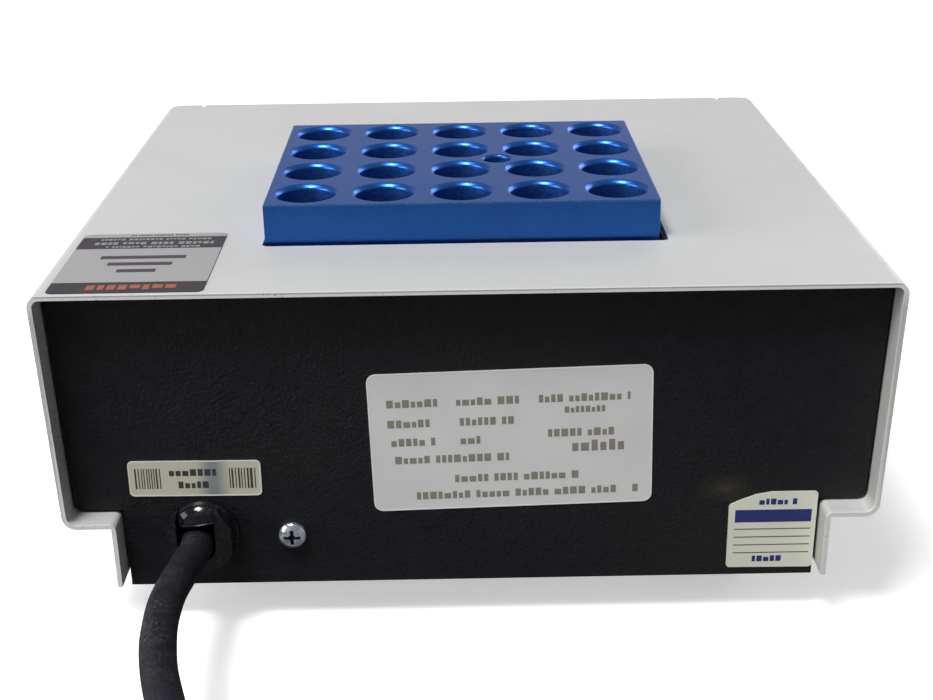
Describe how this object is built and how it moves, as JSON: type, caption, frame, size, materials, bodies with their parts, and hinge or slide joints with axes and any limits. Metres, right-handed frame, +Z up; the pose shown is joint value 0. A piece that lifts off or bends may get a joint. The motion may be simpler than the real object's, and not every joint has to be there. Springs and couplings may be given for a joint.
{
  "type": "dry block heater",
  "caption": "Bench-top dry block heater with a sheet-metal case, a lift-out metal block of tube wells, rocker switches, a dial knob and a mains cord.",
  "frame": {"origin": "on the bench, in the middle of the case's footprint, the feet standing on z = 0", "axes": "+Z up; the control face looks towards -Y and the cord leaves the rear panel towards +Y; +X is to the right seen from the front"},
  "size_m": [0.195, 0.3887, 0.0987],
  "materials": {
    "light_paint": "fine satin",
    "black_wrinkle": "fine wrinkle",
    "zinc": "zinc plated",
    "black_rubber": "matte",
    "blue_anodised": "satin anodised",
    "bare_aluminium": "milled",
    "silicone": "matte",
    "galvanised": "galvanised",
    "fibre": "felted",
    "black_plastic": "satin",
    "gloss_black": "gloss",
    "red_plastic": "gloss",
    "amber_lens": "clear",
    "terminal_brass": "tinned",
    "copper": "drawn",
    "ceramic": "matte",
    "phenolic": "moulded",
    "overlay_print": "printed film",
    "white_wire": "satin",
    "green_wire": "satin",
    "white_film": "matte print",
    "silver_film": "metallic print",
    "dark_film": "printed film"
  },
  "bodies": {
    "housing": {"cover": "light_paint", "chassis": "black_wrinkle", "cover_screws": "zinc", "feet": "black_rubber", "foot_screws": "zinc", "foot_nuts": "zinc", "heater_plate": "bare_aluminium", "heater_mat": "silicone", "heater_backing_plate": "galvanised", "heater_screws": "zinc", "thermal_cutoff": "gloss_black", "cutoff_screws": "zinc", "insulation_pad": "fibre", "block_well": "galvanised", "insulation_collar": "fibre", "insulation_tray": "galvanised", "standoffs": "bare_aluminium", "standoff_screws": "zinc", "front_overlay": "overlay_print", "power_switch_body": "gloss_black", "range_switch_body": "gloss_black", "spade_terminals": "terminal_brass", "pilot_lamp_body": "zinc", "pilot_lamp_lens": "amber_lens", "pilot_lamp_clip": "zinc", "thermostat_body": "phenolic", "thermostat_nut": "zinc", "sensing_bulb": "copper", "capillary_tube": "copper", "terminal_block": "ceramic", "live_wires": "black_rubber", "neutral_wires": "white_wire", "ground_wire": "green_wire", "heater_leads": "white_wire", "ground_screw": "zinc", "ground_terminal": "terminal_brass", "ground_nut": "zinc", "strain_relief": "gloss_black", "strain_relief_wedge": "gloss_black", "power_cord": "black_rubber", "plug_body": "black_rubber", "plug_blades": "terminal_brass", "plug_ground_pin": "terminal_brass", "rating_plate": "white_film", "certification_label": "silver_film", "inspection_sticker": "white_film", "surface_sticker": "dark_film"},
    "block": {"tube_block": "blue_anodised"},
    "power_switch": {"power_rocker": "red_plastic"},
    "range_switch": {"range_rocker": "gloss_black"},
    "temperature_control": {"control_knob": "black_plastic", "control_shaft": "bare_aluminium", "knob_set_screw": "zinc"}
  },
  "joints": [
    {"name": "block_lift", "type": "slide", "parent": "housing", "child": "block", "axis": [0, 0, 1], "range_m": [0, 0.055]},
    {"name": "power_rocker_tilt", "type": "hinge", "parent": "housing", "child": "power_switch", "pos_m": [-0.056, -0.09081, 0.04783], "axis": [-1, 0, 0], "range_deg": [0, 20]},
    {"name": "range_rocker_tilt", "type": "hinge", "parent": "housing", "child": "range_switch", "pos_m": [-0.028, -0.09081, 0.04783], "axis": [-1, 0, 0], "range_deg": [0, 20]},
    {"name": "temperature_knob_turn", "type": "hinge", "parent": "housing", "child": "temperature_control", "pos_m": [0.044, -0.09024, 0.04765], "axis": [0, 0.9511, -0.309], "range_deg": [0, 300]}
  ]
}
